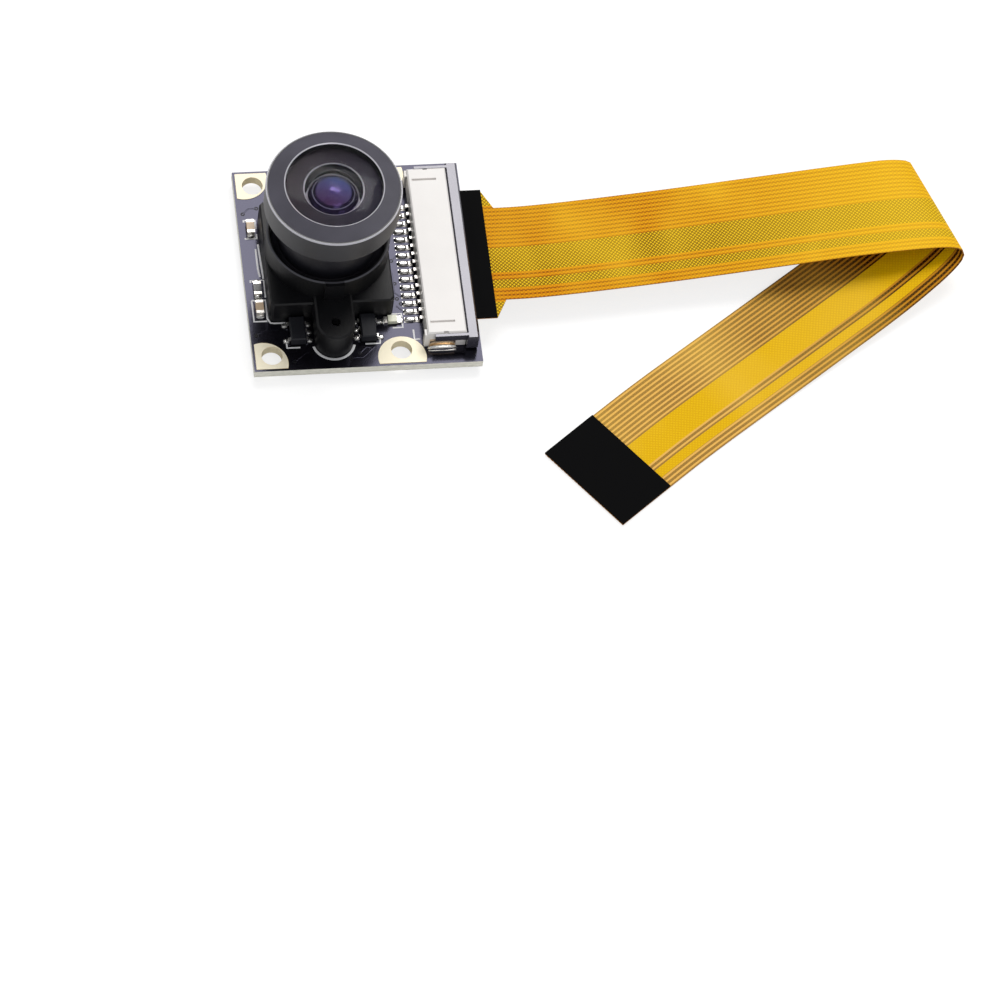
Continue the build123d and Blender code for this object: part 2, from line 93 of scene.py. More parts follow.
worldSet = {"light": 0.42, "backdrop": 1.0, "tint": (0.97, 0.98, 1.0, 1.0)}
world = bpy.data.worlds.new("studio")
bpy.context.scene.world = world
world.use_nodes = True
worldTree = world.node_tree
skyLight = worldTree.nodes["Background"]
skyLight.inputs["Color"].default_value = worldSet["tint"]
skyLight.inputs["Strength"].default_value = worldSet["light"]
backdrop = worldTree.nodes.new("ShaderNodeBackground")
backdrop.inputs["Strength"].default_value = worldSet["backdrop"]
backdrop.inputs["Color"].default_value = (1, 1, 1, 1)
worldPath = worldTree.nodes.new("ShaderNodeLightPath")
worldMix = worldTree.nodes.new("ShaderNodeMixShader")
worldTree.links.new(worldPath.outputs["Is Camera Ray"], worldMix.inputs[0])
worldTree.links.new(skyLight.outputs[0], worldMix.inputs[1])
worldTree.links.new(backdrop.outputs[0], worldMix.inputs[2])
worldTree.links.new(worldMix.outputs[0], worldTree.nodes["World Output"].inputs["Surface"])

floorSet = {"size": 6.0, "drop": 0.05 * mm, "shade": 0.80, "glow": 0.76, "seen": 0.34}
bpy.ops.mesh.primitive_plane_add(size=floorSet["size"], location=(0, 0, -floorSet["drop"]))
floor = bpy.context.object
floor.name = "floor"
floorPaint = bpy.data.materials.new("floor_paint")
floorPaint.use_nodes = True
floorTree = floorPaint.node_tree
floorTree.nodes.remove(floorTree.nodes["Principled BSDF"])
floorRest = floorTree.nodes.new("ShaderNodeBsdfDiffuse")
floorRest.inputs["Color"].default_value = (floorSet["shade"],) * 3 + (1,)
floorSeen = floorTree.nodes.new("ShaderNodeBsdfDiffuse")
floorSeen.inputs["Color"].default_value = (floorSet["seen"],) * 3 + (1,)
floorGlow = floorTree.nodes.new("ShaderNodeEmission")
floorGlow.inputs["Strength"].default_value = floorSet["glow"]
floorSum = floorTree.nodes.new("ShaderNodeAddShader")
floorPath = floorTree.nodes.new("ShaderNodeLightPath")
floorEyes = floorTree.nodes.new("ShaderNodeMath")
floorEyes.operation = "MAXIMUM"
floorMix = floorTree.nodes.new("ShaderNodeMixShader")
floorTree.links.new(floorPath.outputs["Is Camera Ray"], floorEyes.inputs[0])
floorTree.links.new(floorPath.outputs["Is Transmission Ray"], floorEyes.inputs[1])
floorTree.links.new(floorSeen.outputs[0], floorSum.inputs[0])
floorTree.links.new(floorGlow.outputs[0], floorSum.inputs[1])
floorTree.links.new(floorEyes.outputs[0], floorMix.inputs[0])
floorTree.links.new(floorRest.outputs[0], floorMix.inputs[1])
floorTree.links.new(floorSum.outputs[0], floorMix.inputs[2])
floorTree.links.new(floorMix.outputs[0], floorTree.nodes["Material Output"].inputs["Surface"])
floor.data.materials.append(floorPaint)

print("stage 2: the flat cable")

# the cable's line in millimetres, from inside the connector to the far tip
cableSet = {
    "route": [(7.3, 0.0, 2.96), (14.0, 0.0, 2.96), (19.2, 0.05, 2.96), (32.0, 1.15, 3.0),
              (45.0, 2.2, 3.6), (54.0, 2.8, 4.2), (61.1, 3.1, 4.5), (62.95, 2.8, 3.6),
              (61.0, 0.9, 2.4), (54.3, -3.9, 1.2), (46.9, -8.8, 0.45), (39.2, -14.1, 0.12),
              (31.5, -19.5, 0.10), (26.0, -23.7, 0.10), (20.908, -27.661, 0.10)],
    "width": 11.5,
    "wideEnd": 16.0,
    "wideTo": 13.9,        # where the shoulders start and end
    "slimFrom": 15.1,
    "thick": 0.12,
    "step": 0.6,           # distance between the rows
    "columns": 8,
    "creaseAngle": 109.0,  # degrees, the fold's line seen from above
    "creaseFrom": 2.5,     # how far from the fold the rows start to turn
    "creaseTurn": 9.0,     # and over what distance they do
    "steepReach": 4.0,     # the fold's own steep stretch doesn't steer the rows
    "lookAhead": 0.8,
    "length": 109.0,
}


def splineLine(points, name):
    curve = bpy.data.curves.new(name, "CURVE")
    curve.dimensions = "3D"
    curve.resolution_u = 24
    spline = curve.splines.new("NURBS")
    spline.points.add(len(points) - 1)
    for spot, at in zip(spline.points, points):
        spot.co = (at[0] * mm, at[1] * mm, at[2] * mm, 1.0)
    spline.order_u = 3
    spline.use_endpoint_u = True
    guide = bpy.data.objects.new(name, curve)
    bpy.context.scene.collection.objects.link(guide)
    line = bpy.data.meshes.new_from_object(guide)
    found = [v.co.copy() for v in line.vertices]
    bpy.data.objects.remove(guide)
    bpy.data.meshes.remove(line)
    return found


def runDistances(line):
    along = [0.0]
    for a, b in zip(line, line[1:]):
        along.append(along[-1] + (b - a).length)
    return along


def pointAt(line, along, distance):
    for i in range(len(along) - 1):
        if along[i + 1] >= distance:
            share = (distance - along[i]) / max(along[i + 1] - along[i], 1e-9)
            return line[i].lerp(line[i + 1], min(max(share, 0.0), 1.0))
    return line[-1].copy()


def makeCable(settings):
    line = splineLine(settings["route"], "cable_line")
    along = runDistances(line)
    total = along[-1]
    start = settings["route"][0][0]
    marks = {i * settings["step"] * mm for i in range(int(total / (settings["step"] * mm)) + 1)}
    marks |= {(settings["wideTo"] - start) * mm, (settings["slimFrom"] - start) * mm, total}
    marks = sorted(marks)
    fold = max(range(len(marks)), key=lambda i: pointAt(line, along, marks[i]).x)
    foldAt = marks[fold]
    crease = math.radians(settings["creaseAngle"])
    half, wide = settings["width"] / 2 * mm, settings["wideEnd"] / 2 * mm
    taper = (settings["slimFrom"] - settings["wideTo"]) * mm
    look = settings["lookAhead"] * mm
    rows = []
    for mark in marks:
        centre = pointAt(line, along, mark)
        near = abs(mark - foldAt)
        reach = max(near, settings["steepReach"] * mm)
        base = foldAt - reach if mark <= foldAt else foldAt + reach
        ahead = pointAt(line, along, min(base + look, total)) - pointAt(line, along, max(base - look, 0))
        heading = math.atan2(ahead.y, ahead.x)
        square = heading + math.pi / 2 if mark <= foldAt else heading - math.pi / 2
        while square - crease > math.pi:
            square -= 2 * math.pi
        while crease - square > math.pi:
            square += 2 * math.pi
        blend = min(max((near - settings["creaseFrom"] * mm) / (settings["creaseTurn"] * mm), 0.0), 1.0)
        blend = blend * blend * (3 - 2 * blend)
        angle = crease + (square - crease) * blend
        reachOut = half
        if centre.x < settings["slimFrom"] * mm and mark < foldAt:
            share = (settings["slimFrom"] * mm - centre.x) / taper
            reachOut = half + (wide - half) * min(max(share, 0.0), 1.0)
        reachOut /= math.cos(angle - square)
        rows.append((centre, Vector((math.cos(angle), math.sin(angle), 0)), reachOut,
                     math.tan(angle - square) * (1 if mark <= foldAt else -1), mark))
    count = settings["columns"]
    vertices, faces, spots = [], [], []
    for centre, side, reachOut, skew, mark in rows:
        for c in range(count + 1):
            across = (2 * c / count - 1) * reachOut
            vertices.append(centre + side * across)
            spots.append((across * math.cos(math.atan(skew)) / mm, (mark - across * skew) / mm))
    for r in range(len(rows) - 1):
        for c in range(count):
            a = r * (count + 1) + c
            faces.append((a, a + count + 1, a + count + 2, a + 1))
    mesh = bpy.data.meshes.new("cable_ribbon")
    mesh.from_pydata(vertices, [], faces)
    layer = mesh.uv_layers.new(name="tracks")     # millimetres across and along
    for loop in mesh.loops:
        layer.data[loop.index].uv = spots[loop.vertex_index]
    ribbon = bpy.data.objects.new("cable_ribbon", mesh)
    bpy.context.scene.collection.objects.link(ribbon)
    wall = ribbon.modifiers.new("wall", "SOLIDIFY")
    wall.thickness = settings["thick"] * mm
    wall.offset = 0.0
    wall.material_offset = 1
    wall.material_offset_rim = 2
    bpy.ops.object.select_all(action="DESELECT")
    bpy.context.view_layer.objects.active = ribbon
    ribbon.select_set(True)
    for _ in range(3):
        mesh.materials.append(None)
    bpy.ops.object.modifier_apply(modifier="wall")
    bpy.ops.object.shade_smooth_by_angle(angle=math.radians(35))
    return ribbon, [tuple(v) for v in line]


ribbon, cableLine = makeCable(cableSet)
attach(ribbon, "module")
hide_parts("cable_film")

print("stage 3: shared effects")


def newGroup(name, enters, leaves):
    group = bpy.data.node_groups.new(name, "ShaderNodeTree")
    for label, kind, value in enters:
        socket = group.interface.new_socket(label, in_out="INPUT", socket_type=kind)
        socket.default_value = value
    for label, kind in leaves:
        group.interface.new_socket(label, in_out="OUTPUT", socket_type=kind)
    return group, group.nodes.new("NodeGroupInput"), group.nodes.new("NodeGroupOutput")


def plug(tree, source, target):
    if isinstance(source, (int, float, tuple)):
        target.default_value = source
    else:
        tree.links.new(source, target)


def maths(tree, operation, *values, clamp=False):
    node = tree.nodes.new("ShaderNodeMath")
    node.operation = operation
    node.use_clamp = clamp
    for value, socket in zip(values, node.inputs):
        plug(tree, value, socket)
    return node.outputs[0]


def stretch(tree, value, fromLow, fromHigh, toLow=0.0, toHigh=1.0):
    node = tree.nodes.new("ShaderNodeMapRange")
    node.clamp = True
    plug(tree, value, node.inputs["Value"])
    plug(tree, fromLow, node.inputs["From Min"])
    plug(tree, fromHigh, node.inputs["From Max"])
    plug(tree, toLow, node.inputs["To Min"])
    plug(tree, toHigh, node.inputs["To Max"])
    return node.outputs["Result"]


# 1 where the value lies between low and high, 0 elsewhere
def between(tree, value, low, high, soft):
    up = stretch(tree, value, low - soft, low + soft)
    down = stretch(tree, value, high - soft, high + soft)
    return maths(tree, "SUBTRACT", up, down, clamp=True)


def mixColour(tree, share, first, second):
    node = tree.nodes.new("ShaderNodeMix")
    node.data_type = "RGBA"
    plug(tree, share, node.inputs[0])
    plug(tree, first, node.inputs[6])
    plug(tree, second, node.inputs[7])
    return node.outputs[2]


def noise(tree, vector, scale, detail=3.0):
    node = tree.nodes.new("ShaderNodeTexNoise")
    plug(tree, vector, node.inputs["Vector"])
    plug(tree, scale, node.inputs["Scale"])
    node.inputs["Detail"].default_value = detail
    return node.outputs["Fac"]


# fine grain of moulded or coated surfaces, with slow changes of shade
grainGroup, enter, leave = newGroup(
    "surface_grain",
    [("Vector", "NodeSocketVector", (0, 0, 0)), ("Scale", "NodeSocketFloat", 4000.0),
     ("Roughness", "NodeSocketFloat", 0.4), ("Spread", "NodeSocketFloat", 0.1)],
    [("Height", "NodeSocketFloat"), ("Roughness", "NodeSocketFloat"), ("Shade", "NodeSocketFloat")])
fine = noise(grainGroup, enter.outputs["Vector"], enter.outputs["Scale"], 4.0)
wideScale = maths(grainGroup, "MULTIPLY", enter.outputs["Scale"], 0.07)
slow = noise(grainGroup, enter.outputs["Vector"], wideScale, 3.0)
shift = maths(grainGroup, "SUBTRACT", slow, 0.5)
shift = maths(grainGroup, "MULTIPLY", shift, enter.outputs["Spread"])
plug(grainGroup, fine, leave.inputs["Height"])
plug(grainGroup, maths(grainGroup, "ADD", enter.outputs["Roughness"], shift), leave.inputs["Roughness"])
plug(grainGroup, slow, leave.inputs["Shade"])

# turning marks round the lens axis, read from radius and height
turnGroup, enter, leave = newGroup(
    "turning_marks",
    [("Vector", "NodeSocketVector", (0, 0, 0)), ("Spacing", "NodeSocketFloat", 0.00012)],
    [("Height", "NodeSocketFloat"), ("Radius", "NodeSocketFloat"), ("Level", "NodeSocketFloat")])
parts = turnGroup.nodes.new("ShaderNodeSeparateXYZ")
turnGroup.links.new(enter.outputs["Vector"], parts.inputs[0])
squares = [maths(turnGroup, "MULTIPLY", parts.outputs[i], parts.outputs[i]) for i in (0, 1)]
radius = maths(turnGroup, "SQRT", maths(turnGroup, "ADD", *squares))
travel = maths(turnGroup, "ADD", radius, parts.outputs[2])
turns = maths(turnGroup, "DIVIDE", travel, enter.outputs["Spacing"])
lineVector = turnGroup.nodes.new("ShaderNodeCombineXYZ")
plug(turnGroup, turns, lineVector.inputs[0])
plug(turnGroup, noise(turnGroup, lineVector.outputs[0], 1.0, 2.0), leave.inputs["Height"])
plug(turnGroup, radius, leave.inputs["Radius"])
plug(turnGroup, parts.outputs[2], leave.inputs["Level"])

# a patchy mask where the surface turns a corner; on the black moulding it carries painted highlights, pale
# lines along the edges
cornerGroup, enter, leave = newGroup(
    "corner_mask", [("Radius", "NodeSocketFloat", 0.00008), ("Vector", "NodeSocketVector", (0, 0, 0))],
    [("Mask", "NodeSocketFloat")])
soft = cornerGroup.nodes.new("ShaderNodeBevel")
soft.samples = 6
cornerGroup.links.new(enter.outputs["Radius"], soft.inputs["Radius"])
facing = cornerGroup.nodes.new("ShaderNodeNewGeometry")
turnDot = cornerGroup.nodes.new("ShaderNodeVectorMath")
turnDot.operation = "DOT_PRODUCT"
cornerGroup.links.new(soft.outputs[0], turnDot.inputs[0])
cornerGroup.links.new(facing.outputs["Normal"], turnDot.inputs[1])
lost = maths(cornerGroup, "SUBTRACT", 1.0, turnDot.outputs["Value"])
broken = noise(cornerGroup, enter.outputs["Vector"], 900.0, 4.0)
cornerLine = stretch(cornerGroup, lost, 0.02, 0.16)
patchy = stretch(cornerGroup, broken, 0.35, 0.65)
plug(cornerGroup, maths(cornerGroup, "MULTIPLY", cornerLine, patchy), leave.inputs["Mask"])

# tracks of the flat cable from the ribbon's own map, in millimetres
trackGroup, enter, leave = newGroup(
    "cable_tracks", [("Across", "NodeSocketFloat", 0.0), ("Along", "NodeSocketFloat", 0.0),
                     ("Gap", "NodeSocketFloat", 0.2)],
    [("Gaps", "NodeSocketFloat"), ("Mesh", "NodeSocketFloat"), ("Band", "NodeSocketFloat")])
trackSet = {
    "pitch": 0.5,
    "edge": 5.75,
    "regions": ((-0.3, 5.05), (8.15, 9.05), (10.1, 11.8)),    # from the cable's edge
    "mesh": 0.42,
    "meshWire": 0.17,        # share of the mesh that is wire
}
fromEdge = maths(trackGroup, "SUBTRACT", trackSet["edge"], enter.outputs["Across"])
wave = maths(trackGroup, "PINGPONG", fromEdge, trackSet["pitch"] / 2)
gapHalf = maths(trackGroup, "MULTIPLY", enter.outputs["Gap"], 0.5)
gap = maths(trackGroup, "LESS_THAN", wave, gapHalf)
tracks = None
for low, high in trackSet["regions"]:
    region = between(trackGroup, fromEdge, low, high, 0.01)
    tracks = region if tracks is None else maths(trackGroup, "ADD", tracks, region, clamp=True)
band = maths(trackGroup, "SUBTRACT", 1.0, tracks, clamp=True)
diagonals = []
for sign in (1.0, -1.0):
    lean = maths(trackGroup, "MULTIPLY_ADD", enter.outputs["Along"], sign, enter.outputs["Across"])
    fold = maths(trackGroup, "PINGPONG", lean, trackSet["mesh"] / 2)
    diagonals.append(maths(trackGroup, "LESS_THAN", fold, trackSet["mesh"] * trackSet["meshWire"]))
mesh = maths(trackGroup, "MAXIMUM", *diagonals)
plug(trackGroup, maths(trackGroup, "MULTIPLY", gap, tracks), leave.inputs["Gaps"])
plug(trackGroup, mesh, leave.inputs["Mesh"])
plug(trackGroup, band, leave.inputs["Band"])

print("stage 4: materials")


def srgb(r, g, b):
    return tuple(c / 12.92 if c <= 0.04045 else ((c + 0.055) / 1.055) ** 2.4
                 for c in (r / 255, g / 255, b / 255)) + (1.0,)


def newMaterial(name, sockets):
    material = bpy.data.materials.new(name)
    material.use_nodes = True
    tree = material.node_tree
    shader = tree.nodes["Principled BSDF"]
    for label, value in sockets.items():
        shader.inputs[label].default_value = value
    return material, tree, shader


# object coordinates, shifted so that a pattern is centred where it belongs
def ownPlace(tree, shift=(0, 0, 0)):
    source = tree.nodes.new("ShaderNodeTexCoord").outputs["Object"]
    if shift == (0, 0, 0):
        return source
    centred = tree.nodes.new("ShaderNodeMapping")
    centred.inputs["Location"].default_value = shift
    tree.links.new(source, centred.inputs["Vector"])
    return centred.outputs["Vector"]


def useGroup(tree, group, **values):
    node = tree.nodes.new("ShaderNodeGroup")
    node.node_tree = group
    for key, value in values.items():
        plug(tree, value, node.inputs[key])
    return node


def addBump(tree, shader, height, distance):
    bump = tree.nodes.new("ShaderNodeBump")
    bump.inputs["Distance"].default_value = distance
    bump.inputs["Strength"].default_value = 1.0
    tree.links.new(height, bump.inputs["Height"])
    tree.links.new(bump.outputs[0], shader.inputs["Normal"])


def shadedColour(tree, colour, shade, share=0.25):
    dark = tuple(c * (1 - share) for c in colour[:3]) + (1.0,)
    light = tuple(min(c * (1 + share), 1.0) for c in colour[:3]) + (1.0,)
    return mixColour(tree, stretch(tree, shade, 0.3, 0.7), dark, light)


# the last argument adds a pale ring round the lens axis, a painted highlight on an edge: colour, radius from,
# to, level from, to
def mouldedPlastic(name, colour, roughness, level, scale=5200.0, depth=0.010, cornerLine=None,
                   share=0.2, tint=(1, 1, 1, 1), rimHighlight=None):
    material, tree, shader = newMaterial(name, {"Specular IOR Level": level, "Specular Tint": tint})
    place = ownPlace(tree)
    grain = useGroup(tree, grainGroup, Vector=place, Scale=scale, Roughness=roughness, Spread=0.12)
    paint = shadedColour(tree, colour, grain.outputs["Shade"], share)
    if cornerLine:
        corners = useGroup(tree, cornerGroup, Radius=cornerLine[1] * mm, Vector=place)
        paint = mixColour(tree, corners.outputs["Mask"], paint, cornerLine[0])
    if rimHighlight:
        turned = useGroup(tree, turnGroup, Vector=ownPlace(tree, (-lensX, -lensY, 0)))
        paint = mixColour(tree, ringMask(tree, turned, *rimHighlight[1:]), paint, rimHighlight[0])
    plug(tree, paint, shader.inputs["Base Color"])
    plug(tree, grain.outputs["Roughness"], shader.inputs["Roughness"])
    addBump(tree, shader, grain.outputs["Height"], depth * mm)
    return material


def ringMask(tree, turned, low, high, under, over):
    return maths(tree, "MULTIPLY", between(tree, turned.outputs["Radius"], low * mm, high * mm, 0.004 * mm),
                 between(tree, turned.outputs["Level"], under * mm, over * mm, 0.004 * mm))


def platedMetal(name, colour, roughness, spread=0.2, scale=2600.0, depth=0.006, metal=1.0, rim=None):
    material, tree, shader = newMaterial(name, {"Metallic": metal})
    place = ownPlace(tree)
    grain = useGroup(tree, grainGroup, Vector=place, Scale=scale, Roughness=roughness, Spread=spread)
    paint = shadedColour(tree, colour, grain.outputs["Shade"], 0.12 if metal == 1.0 else 0.04)
    if rim:
        corners = useGroup(tree, cornerGroup, Radius=rim[1] * mm, Vector=place)
        paint = mixColour(tree, corners.outputs["Mask"], paint, rim[0])
    plug(tree, paint, shader.inputs["Base Color"])
    plug(tree, grain.outputs["Roughness"], shader.inputs["Roughness"])
    addBump(tree, shader, grain.outputs["Height"], depth * mm)
    return material


def boardMaterial():
    looks = {"mask": srgb(12, 11, 15), "edge": srgb(248, 245, 232), "fibre": srgb(222, 221, 206)}
    material, tree, shader = newMaterial("board_mask_black", {"Specular IOR Level": 0.40,
                                                              "Specular Tint": (0.73, 0.72, 1.0, 1.0)})
    place = ownPlace(tree)
    grain = useGroup(tree, grainGroup, Vector=place, Scale=1500.0, Roughness=0.15, Spread=0.06)
    height = tree.nodes.new("ShaderNodeSeparateXYZ")
    tree.links.new(place, height.inputs[0])
    skin = 0.01 * mm                      # the mask's faces; between them lies the cut laminate
    side = maths(tree, "MULTIPLY", maths(tree, "GREATER_THAN", height.outputs[2], boardUnder + skin),
                 maths(tree, "LESS_THAN", height.outputs[2], boardTop - skin))
    flat = maths(tree, "SUBTRACT", 1.0, side)
    squash = tree.nodes.new("ShaderNodeMapping")
    squash.inputs["Scale"].default_value = (0.15, 0.15, 1.0)
    tree.links.new(place, squash.inputs["Vector"])
    fibre = noise(tree, squash.outputs[0], 9000.0, 3.0)
    rim = mixColour(tree, stretch(tree, fibre, 0.35, 0.65), looks["fibre"], looks["edge"])
    coated = shadedColour(tree, looks["mask"], grain.outputs["Shade"])
    plug(tree, mixColour(tree, flat, rim, coated), shader.inputs["Base Color"])
    cutRough = maths(tree, "MULTIPLY", maths(tree, "SUBTRACT", 1.0, flat), 0.5)
    plug(tree, maths(tree, "ADD", cutRough, grain.outputs["Roughness"]), shader.inputs["Roughness"])
    addBump(tree, shader, grain.outputs["Height"], 0.004 * mm)
    return material


# black anodised metal; bright lists the cut edges as (radius from, to, level from, to) in millimetres,
# painted pale: bare metal there, brightened into painted highlights, and far paints another colour across the
# lens, a painted reflection: colour, direction x and y, reach in millimetres
def lensMetal(name, colour, roughness, bright, level=0.62, far=None):
    # pale paint for the cut edges, partly bare metal and partly a painted highlight
    shine = srgb(206, 205, 212)
    material, tree, shader = newMaterial(name, {"Specular IOR Level": level})
    place = ownPlace(tree, (-lensX, -lensY, 0))
    marks = useGroup(tree, turnGroup, Vector=place, Spacing=0.10 * mm)
    grain = useGroup(tree, grainGroup, Vector=place, Scale=4200.0, Roughness=roughness, Spread=0.08)
    cutEdgeShine = None
    for bounds in bright:
        ring = ringMask(tree, marks, *bounds)
        cutEdgeShine = ring if cutEdgeShine is None else maths(tree, "MAXIMUM", cutEdgeShine, ring)
    paint = shadedColour(tree, colour, grain.outputs["Shade"], 0.15)
    if far:
        paint = mixColour(tree, lensSide(tree, place, *far[1:]), paint, far[0])
    rough = grain.outputs["Roughness"]
    if cutEdgeShine is not None:
        paint = mixColour(tree, cutEdgeShine, paint, shine)
        rough = stretch(tree, cutEdgeShine, 0.0, 1.0, rough, 0.34)
        plug(tree, maths(tree, "MULTIPLY", cutEdgeShine, 0.25), shader.inputs["Metallic"])
    plug(tree, paint, shader.inputs["Base Color"])
    plug(tree, rough, shader.inputs["Roughness"])
    both = maths(tree, "ADD", marks.outputs["Height"], maths(tree, "MULTIPLY", grain.outputs["Height"], 0.5))
    addBump(tree, shader, both, 0.0022 * mm)
    return material


# 0 to 1 across the lens along the direction (x, y), over the given reach in millimetres
def lensSide(tree, place, x, y, reach):
    split = tree.nodes.new("ShaderNodeSeparateXYZ")
    tree.links.new(place, split.inputs[0])
    long = math.hypot(x, y)
    alongY = maths(tree, "MULTIPLY", split.outputs[1], y / long)
    along = maths(tree, "MULTIPLY_ADD", split.outputs[0], x / long, alongY)
    return stretch(tree, along, -reach * mm, reach * mm)


# coated glass; the coat is the tint of what the surface reflects head on, far is as in lensMetal, a painted
# reflection, and rim and ring are further colours with the radii from and to, in millimetres: rim paints
# shade towards the edge, ring a pale painted highlight
def lensGlass(name, coat, body=(0.97, 0.96, 0.98, 1.0), roughness=0.0, bend=1.52, clear=1.0, far=None,
              rim=None, ring=None):
    material, tree, shader = newMaterial(name, {"Transmission Weight": clear, "IOR": bend,
                                                "Specular Tint": coat})
    smear = noise(tree, ownPlace(tree), 500.0, 2.0)
    plug(tree, stretch(tree, smear, 0.45, 0.75, roughness, roughness + 0.02), shader.inputs["Roughness"])
    dust = noise(tree, ownPlace(tree), 1400.0, 3.0)
    pale = tuple(c * 0.97 for c in body[:3]) + (1.0,)
    paint = mixColour(tree, stretch(tree, dust, 0.4, 0.7), body, pale)
    if far:
        centred = ownPlace(tree, (-lensX, -lensY, 0))
        outwards = useGroup(tree, turnGroup, Vector=centred).outputs["Radius"]
        # another colour towards one side of the lens: a painted reflection
        paint = mixColour(tree, lensSide(tree, centred, *far[1:]), paint, far[0])
        # darker towards the rim: painted shade
        paint = mixColour(tree, stretch(tree, outwards, rim[1] * mm, rim[2] * mm), paint, rim[0])
        # a thin pale ring: a painted highlight
        circle = between(tree, outwards, ring[1] * mm, ring[2] * mm, 0.012 * mm)
        paint = mixColour(tree, circle, paint, ring[0])
    plug(tree, paint, shader.inputs["Base Color"])
    return material


def cableFace(name, looks):
    material, tree, shader = newMaterial(name, {"Specular IOR Level": 0.16, "Specular Tint": looks["sheen"]})
    spread = tree.nodes.new("ShaderNodeUVMap")
    spread.uv_map = "tracks"
    split = tree.nodes.new("ShaderNodeSeparateXYZ")
    tree.links.new(spread.outputs[0], split.inputs[0])
    across, along = split.outputs[0], split.outputs[1]
    tracks = useGroup(tree, trackGroup, Across=across, Along=along, Gap=looks["gapWidth"])
    gaps, weave, band = tracks.outputs["Gaps"], tracks.outputs["Mesh"], tracks.outputs["Band"]
    film = mixColour(tree, weave, looks["band"], looks["mesh"])
    dashes = mixColour(tree, weave, looks["gapPale"], looks["gap"])
    # the tracks and dashes turn paler further along the run: a painted sheen
    sheenAlong = stretch(tree, along, *looks["sheenAlong"])          # the look drifts along the run
    lines = mixColour(tree, sheenAlong, looks["track"], looks["trackSheen"])
    lines = mixColour(tree, maths(tree, "MULTIPLY", weave, looks["trackMesh"]), lines, looks["gap"])
    dashes = mixColour(tree, maths(tree, "MULTIPLY", sheenAlong, looks["sheenAlongShare"]), dashes, looks["trackSheen"])
    stripes = mixColour(tree, gaps, lines, dashes)
    paint = mixColour(tree, band, stripes, film)
    slowly = tree.nodes.new("ShaderNodeMapping")
    slowly.inputs["Scale"].default_value = (0.05, 0.09, 1.0)
    tree.links.new(spread.outputs[0], slowly.inputs["Vector"])
    cloud = noise(tree, slowly.outputs[0], 1.0, 2.0)
    # paler patches from a slow noise, and a paler stretch along the run, are painted highlights on the film
    glow = maths(tree, "MULTIPLY", stretch(tree, along, *looks["glow"]), looks["paintedGlowShare"])
    paintedGlare = maths(tree, "MAXIMUM", glow, stretch(tree, cloud, 0.42, 0.72, 0.0, looks["paintedGlareShare"]))
    paint = mixColour(tree, paintedGlare, paint, looks["paintedGlare"])
    plug(tree, paint, shader.inputs["Base Color"])
    plug(tree, stretch(tree, cloud, 0.3, 0.7, 0.42, 0.34), shader.inputs["Roughness"])
    dips = maths(tree, "MAXIMUM", gaps, maths(tree, "MULTIPLY", weave, band))
    addBump(tree, shader, maths(tree, "SUBTRACT", 1.0, dips), 0.006 * mm)
    return material


filmUpper = cableFace("film_upper_face", {
    "band": srgb(230, 188, 30), "mesh": srgb(112, 74, 4), "track": srgb(226, 148, 4),
    "trackSheen": srgb(240, 178, 16), "trackMesh": 0.36, "gap": srgb(132, 60, 2), "gapPale": srgb(196, 112, 4),
    "gapWidth": 0.2, "paintedGlare": srgb(252, 208, 44), "paintedGlareShare": 0.45, "glow": (28.0, 50.0), "paintedGlowShare": 0.38,
    "sheenAlong": (10.0, 50.0), "sheenAlongShare": 0.3, "sheen": (1.0, 0.72, 0.08, 1.0)})
filmLower = cableFace("film_lower_face", {
    "band": srgb(229, 182, 6), "mesh": srgb(218, 168, 4), "track": srgb(188, 124, 26),
    "trackSheen": srgb(228, 176, 90), "trackMesh": 0.0, "gap": srgb(22, 4, 0), "gapPale": srgb(100, 48, 6),
    "gapWidth": 0.28, "paintedGlare": srgb(240, 198, 84), "paintedGlareShare": 0.25,
    "glow": (200.0, 201.0), "paintedGlowShare": 0.0,        # past the cable's end, so none
    "sheenAlong": (66.0, 88.0), "sheenAlongShare": 0.36, "sheen": (1.0, 0.76, 0.12, 1.0)})
filmEdge = mouldedPlastic("film_cut_edge", srgb(176, 110, 14), 0.45, 0.4)
for index, material in enumerate((filmUpper, filmLower, filmEdge)):
    ribbon.data.materials[index] = material
